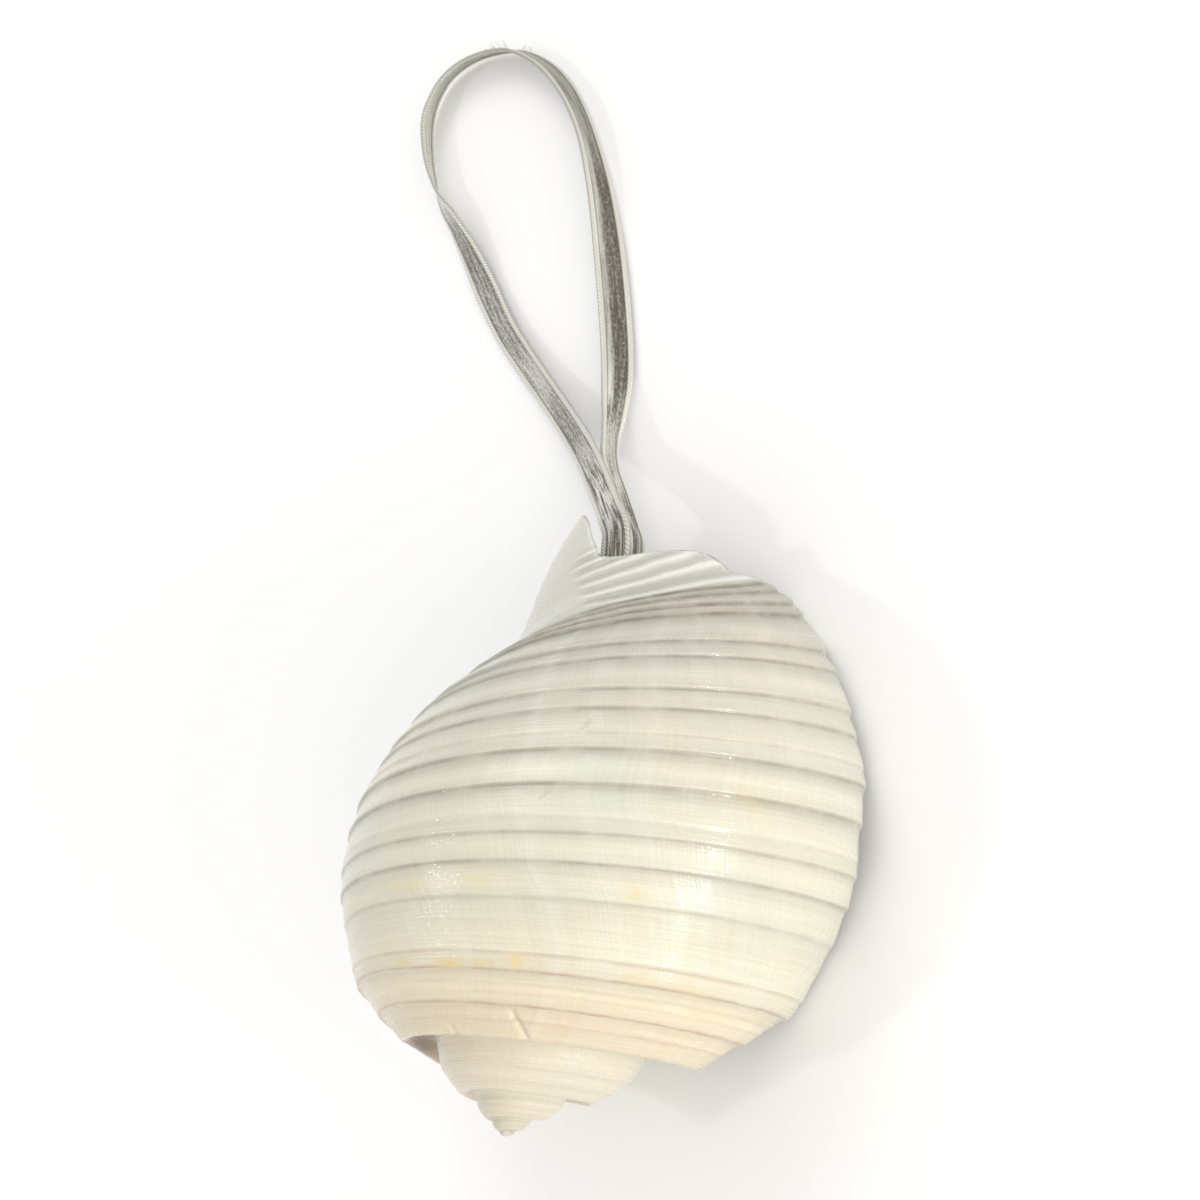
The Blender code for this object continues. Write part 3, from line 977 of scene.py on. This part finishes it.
def lime_colour(tree, turn, run, thread, growth):
    """The colour of the outside, drawn on the growth map, with painted light and shade at the
    ribs, the lobe's folds, the neck and the channel.
    """
    stops = [(place / RUN_END, colour) for place, colour in LIME_AND_NECK_SHADE]
    colour = colour_ramp(tree, sums(tree, "DIVIDE", run, RUN_END), stops)
    patches = body_noise(tree, 45.0)
    older = spread(tree, turn, -330.0, -380.0, 0.0, 0.65)
    colour = blend_colours(tree, older, colour, SPIRE_PEACH)
    cool = spread(tree, patches, 0.52, 0.70, 0.0, 0.30)
    colour = blend_colours(tree, cool, colour, COOL_GREY)
    warm = spread(tree, patches, 0.48, 0.30, 0.0, 0.25)
    colour = blend_colours(tree, warm, colour, WARM_PEACH)
    dusk = spread(tree, thread, 0.35, 0.65, 0.955, 1.015)
    shade = sums(tree, "MULTIPLY", dusk, spread(tree, growth, 0.30, 0.70, 0.965, 1.015))
    # The tone mark multiplies in the painted highlight and shade of the ribs.
    shade = sums(tree, "MULTIPLY", shade, sums(tree, "MULTIPLY_ADD", mark(tree, "tone"), 2.0, 0.0))
    grey = tree.nodes.new("ShaderNodeCombineColor")
    for socket in grey.inputs[:3]:
        put(tree, socket, shade)
    colour = blend_colours(tree, 1.0, colour, grey.outputs[0], "MULTIPLY")
    pale = sums(tree, "MULTIPLY", mark(tree, "pale"), spread(tree, thread, 0.3, 0.6, 0.3, 0.7))
    colour = blend_colours(tree, pale, colour, STREAK_WHITE)
    # Painted shade on one side of each fold of the front lobe and a painted highlight on the
    # other.
    fan = lobe_folds(tree, turn, run)
    colour = blend_colours(tree, spread(tree, fan, -0.1, -0.9, 0.0, 0.55), colour, FOLD_SHADE_GREY)
    colour = blend_colours(tree, spread(tree, fan, 0.1, 0.9, 0.0, 0.65), colour, FOLD_HIGHLIGHT_WHITE)
    # The line at each rib's foot is painted shade, reddish near the suture and grey elsewhere.
    line_shade_colour = blend_colours(tree, spread(tree, run, REDDISH_TO, REDDISH_TO + 3.0),
                                LINE_SHADE_RED, LINE_SHADE_GREY)
    broken = spread(tree, streaky_noise(tree, turn, run, 0.12, 0.05), 0.30, 0.62, 0.45, 1.0)
    worn = spread(tree, turn, -330.0, -380.0, 1.0, 0.15)
    line = sums(tree, "MULTIPLY", mark(tree, "line"), sums(tree, "MULTIPLY", broken, worn))
    colour = blend_colours(tree, line, colour, line_shade_colour)
    soak = spread(tree, body_noise(tree, 260.0), 0.30, 0.56)
    stain = sums(tree, "MULTIPLY", mark(tree, "stain"), sums(tree, "MULTIPLY", soak, 0.85))
    colour = blend_colours(tree, stain, colour, STAIN_GOLD)
    # Painted shade, tinted brown, deep in the channel.
    return blend_colours(tree, mark(tree, "channel_shade"), colour, CHANNEL_SHADE_BROWN)


# %% The shell's finish
def shell_material():
    """Shell lime: threads, lines of growth, a pebbly lip and a thin gloss."""
    material, tree, surface = new_material("shell_lime")
    turn, run = map_axes(tree, "growth")
    thread = streaky_noise(tree, turn, run, 0.035, 2.0, 3.0)
    growth = streaky_noise(tree, turn, run, 1.7, 0.035, 3.0)
    outside = sums(tree, "GREATER_THAN", run, 0.5 * INSIDE_MARK)
    lip = spread(tree, turn, -3.2, -1.2)
    colour = lime_colour(tree, turn, run, thread, growth)
    colour = blend_colours(tree, sums(tree, "MULTIPLY", lip, 0.7), colour, LIP_WHITE)
    colour = blend_colours(tree, outside, INSIDE_CREAM, colour)
    put(tree, surface.inputs["Base Color"], colour)
    worn = spread(tree, body_noise(tree, 120.0, 4.0), 0.35, 0.65, 0.32, 0.48)
    gleam = spread(tree, streaky_noise(tree, turn, run, 0.4, 1.6), 0.45, 0.62, 1.0, 0.66)
    worn = sums(tree, "MULTIPLY", worn, gleam)
    rough = spread(tree, outside, 0.0, 1.0, 0.18, 1.0)
    put(tree, surface.inputs["Roughness"], sums(tree, "MULTIPLY", worn, rough))
    surface.inputs["Coat Weight"].default_value = 0.5
    surface.inputs["Coat Roughness"].default_value = 0.06
    grain = body_noise(tree, 900.0)
    weave = sums(tree, "ADD", sums(tree, "MULTIPLY", thread, 1.0),
                 sums(tree, "MULTIPLY", growth, 0.8))
    weave = sums(tree, "ADD", weave, sums(tree, "MULTIPLY", grain, 0.25))
    pebbles = sums(tree, "MULTIPLY", body_noise(tree, 700.0), sums(tree, "MULTIPLY", lip, 1.6))
    folds = sums(tree, "MULTIPLY", lobe_folds(tree, turn, run), 3.0)
    height = sums(tree, "ADD", sums(tree, "ADD", weave, pebbles), folds)
    height = sums(tree, "MULTIPLY", height, outside)
    bump(tree, surface.inputs["Normal"], height, 0.10 * MM)
    ripple = streaky_noise(tree, turn, run, 0.55, 2.2, 2.0)
    ripple = sums(tree, "ADD", ripple, sums(tree, "MULTIPLY", height, 0.5))
    bump(tree, surface.inputs["Coat Normal"], ripple, 0.09 * MM)
    return material


shell.data.materials.clear()
shell.data.materials.append(shell_material())
print("materials of the shell:", [m.name for m in shell.data.materials])

# %% [markdown]
# The ribbon is woven of fine silver wire. Its rolled rims are bright and
# smooth, and its thin middle is dark between the bright crossings. Towards
# the shell both ends are tarnished brown. How bright the middle looks along
# the band, a light band down one side, bright specks, the light and dark lines
# at the creases and the dark groove by each rim are painted light and shade.
# The weave is drawn on the band's own map, in millimetres along and across.

# %% The ribbon's finish
RIM_FROM = 2.15
WEAVE_ALONG = 0.62
WEAVE_ACROSS = 0.50
WRAP_SPACING = 0.85
RIM_SILVER = (0.84, 0.82, 0.74, 1.0)
RIM_SHADE = (0.36, 0.35, 0.31, 1.0)
# Lit and shaded colours of the wire in the band's middle.
WIRE_LIT_SILVER = (0.78, 0.77, 0.70, 1.0)
WIRE_SHADED_DARK = (0.105, 0.095, 0.078, 1.0)
TARNISH = (0.15, 0.10, 0.06, 1.0)
# Painted light and shade along the band: how bright the middle looks at each run.
MIDDLE_LIGHT_AND_SHADE = [
    (21.0, 0.36), (30.0, 0.56), (42.0, 0.58), (54.0, 0.54), (62.0, 0.42), (71.0, 0.42),
    (78.0, 0.64), (90.0, 0.62), (97.0, 0.48), (118.0, 0.42), (126.0, 0.36), (134.0, 0.52),
    (141.0, 0.80), (165.0, 0.80), (184.0, 0.56), (213.0, 0.48), (231.0, 0.38), (240.0, 0.22),
    (251.0, 0.20), (270.0, 0.15), (289.0, 0.16), (295.0, 0.36), (302.0, 0.62), (312.0, 0.56),
    (328.0, 0.42), (336.0, 0.25), (357.0, 0.15),
]
# A painted sheen down one side of the band, over part of its length.
SIDE_SHEEN = [(0.0, 0.0), (222.0, 0.0), (238.0, 0.45), (280.0, 0.45), (292.0, 0.7), (297.0, 0.0)]
BROWN_TONE = [(0.0, 0.7), (23.0, 0.5), (30.0, 0.0), (185.0, 0.1), (200.0, 0.7), (225.0, 0.5),
              (240.0, 0.35), (285.0, 0.30), (296.0, 0.0), (330.0, 0.1), (340.0, 0.6)]


def tone_along(tree, run, stops):
    """A number that changes along the ribbon, from stops in millimetres."""
    greys = [(place / 360.0, (tone, tone, tone)) for place, tone in stops]
    return colour_ramp(tree, sums(tree, "DIVIDE", run, 360.0), greys)


def ribbon_material():
    """Silver weave between bright rolled rims, tarnished near the shell, with painted light and
    shade.
    """
    material, tree, surface = new_material("silver_weave")
    run, across = map_axes(tree, "band")
    off = sums(tree, "ABSOLUTE", across)
    rim = spread(tree, off, RIM_FROM - 0.12, RIM_FROM + 0.35)
    # Painted shade in the groove between each rim and the middle.
    gutter_shade = spread(tree, sums(tree, "ABSOLUTE", sums(tree, "SUBTRACT", off, RIM_FROM)), 0.30, 0.0)
    hem = spread(tree, off, 3.22, 3.46)
    rows = sums(tree, "SINE", sums(tree, "MULTIPLY", run, 2.0 * math.pi / WEAVE_ALONG))
    files = sums(tree, "SINE", sums(tree, "MULTIPLY", across, 2.0 * math.pi / WEAVE_ACROSS))
    cross = spread(tree, sums(tree, "MULTIPLY", rows, files), -0.9, 0.9)
    streaks = spread(tree, streaky_noise(tree, run, across, 0.10, 1.5, 3.0), 0.32, 0.66)
    specks = spread(tree, streaky_noise(tree, run, across, 1.1, 1.7, 2.0), 0.38, 0.66)
    # Painted glints: bright specks in the colour of the middle.
    painted_glints = spread(tree, streaky_noise(tree, run, across, 1.6, 1.9, 1.0), 0.66, 0.76)
    # Painted light and shade along the band and a painted sheen down one side.
    level = tone_along(tree, run, MIDDLE_LIGHT_AND_SHADE)
    side = sums(tree, "MULTIPLY", tone_along(tree, run, SIDE_SHEEN), spread(tree, across, 0.2, 1.6))
    foot = sums(tree, "MAXIMUM", spread(tree, run, 58.0, 38.0), spread(tree, run, 308.0, 322.0))
    # Light and dark lines at the creases, strongest at the two feet, are painted light and shade.
    lines = sums(tree, "MULTIPLY", sums(tree, "SUBTRACT", streaks, 0.5),
                 sums(tree, "MULTIPLY_ADD", foot, 0.75, 0.25))
    rough = sums(tree, "ADD", lines, sums(tree, "MULTIPLY_ADD", specks, 0.26, -0.13))
    grain = sums(tree, "ADD", rough, sums(tree, "MULTIPLY_ADD", cross, 0.10, -0.05))
    wire = spread(tree, sums(tree, "ADD", sums(tree, "ADD", level, side), grain), 0.0, 1.0)
    wire = sums(tree, "MAXIMUM", wire, sums(tree, "MULTIPLY", painted_glints, 0.9))
    middle = blend_colours(tree, wire, WIRE_SHADED_DARK, WIRE_LIT_SILVER)
    brown = tone_along(tree, run, BROWN_TONE)
    middle = blend_colours(tree, sums(tree, "MULTIPLY", brown, specks), middle, TARNISH)
    turns = sums(tree, "SINE", sums(tree, "MULTIPLY", sums(tree, "ADD", run, across),
                                    2.0 * math.pi / WRAP_SPACING))
    bright = blend_colours(tree, spread(tree, turns, -0.1, 1.0, 0.0, 0.4), RIM_SILVER, RIM_SHADE)
    bright = blend_colours(tree, sums(tree, "MULTIPLY", brown, 0.35), bright, TARNISH)
    bright = blend_colours(tree, sums(tree, "MULTIPLY", hem, 0.7), bright, RIM_SHADE)
    colour = blend_colours(tree, rim, middle, bright)
    # Painted shade in the groove along each rim.
    colour = blend_colours(tree, sums(tree, "MULTIPLY", gutter_shade, 0.6), colour, WIRE_SHADED_DARK)
    put(tree, surface.inputs["Base Color"], colour)
    put(tree, surface.inputs["Metallic"], spread(tree, rim, 0.0, 1.0, 0.5, 0.3))
    put(tree, surface.inputs["Roughness"], spread(tree, rim, 0.0, 1.0, 0.42, 0.33))
    strands = sums(tree, "ADD", sums(tree, "MULTIPLY", cross, 0.5),
                   sums(tree, "MULTIPLY", streaks, sums(tree, "MULTIPLY_ADD", foot, 0.8, 0.2)))
    strands = sums(tree, "MULTIPLY", strands, sums(tree, "SUBTRACT", 1.0, rim))
    wraps = sums(tree, "MULTIPLY", sums(tree, "MULTIPLY", turns, 0.5), rim)
    bump(tree, surface.inputs["Normal"], sums(tree, "ADD", strands, wraps), 0.14 * MM)
    return material


ribbon.data.materials.append(ribbon_material())
print("materials of the ribbon:", [m.name for m in ribbon.data.materials])

# %% [markdown]
# The shell and the ribbon stand for the two nodes of the imported model.

# %% Tie the pieces to the frame
for piece, node in ((shell, "shell"), (ribbon, "ribbon")):
    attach(piece, "root")
    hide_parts(node)

# %% [markdown]
# The picture was taken by daylight in a bright room. A white world gives the
# even light of the room, and a large warm light, low on the lip's side, draws
# the ribs. A weaker one fills in from the front end. The narrow window strip
# and the small lamp are there for the glints in the shell's thin gloss.

# %% Floor and lights
FLOOR_HALF = 1.5


def make_floor():
    """A pale floor at the level the shell rests on."""
    bm = bmesh.new()
    bmesh.ops.create_grid(bm, x_segments=1, y_segments=1, size=FLOOR_HALF)
    floor = finished_object("floor", bm, smooth=False)
    material, _tree, surface = new_material("floor_pale")
    surface.inputs["Base Color"].default_value = (0.95, 0.95, 0.95, 1.0)
    surface.inputs["Roughness"].default_value = 0.9
    floor.data.materials.append(material)
    return floor


def soft_light(name, place, aim_at, power, size, colour=(1.0, 1.0, 1.0)):
    """An area light, width by height, that points at a place."""
    data = bpy.data.lights.new(name, "AREA")
    data.shape = "RECTANGLE"
    data.energy = power
    data.size, data.size_y = size
    data.color = colour
    lamp = bpy.data.objects.new(name, data)
    SCENE.collection.objects.link(lamp)
    lamp.location = place
    lamp.rotation_euler = (Vector(aim_at) - Vector(place)).to_track_quat("-Z", "Y").to_euler()
    return lamp


make_floor()
soft_light("key", (0.92, -0.36, 0.42), (0.0, 0.0, 0.03), 3.6, (1.0, 1.0), (1.0, 0.93, 0.78))
soft_light("top", (-0.10, 0.75, 0.75), (0.0, 0.0, 0.02), 2.0, (0.5, 0.5))
soft_light("window", (0.98, -0.20, 0.10), (0.03, -0.01, 0.045), 2.6, (0.5, 0.025))
soft_light("lamp", (-0.50, -0.15, 0.85), (0.0, 0.0, 0.06), 0.8, (0.07, 0.07))
world = bpy.data.worlds.new("studio")
SCENE.world = world
world.use_nodes = True
world.node_tree.nodes["Background"].inputs["Color"].default_value = (1.0, 1.0, 1.0, 1.0)
world.node_tree.nodes["Background"].inputs["Strength"].default_value = 0.8
SCENE.view_settings.view_transform = "Standard"
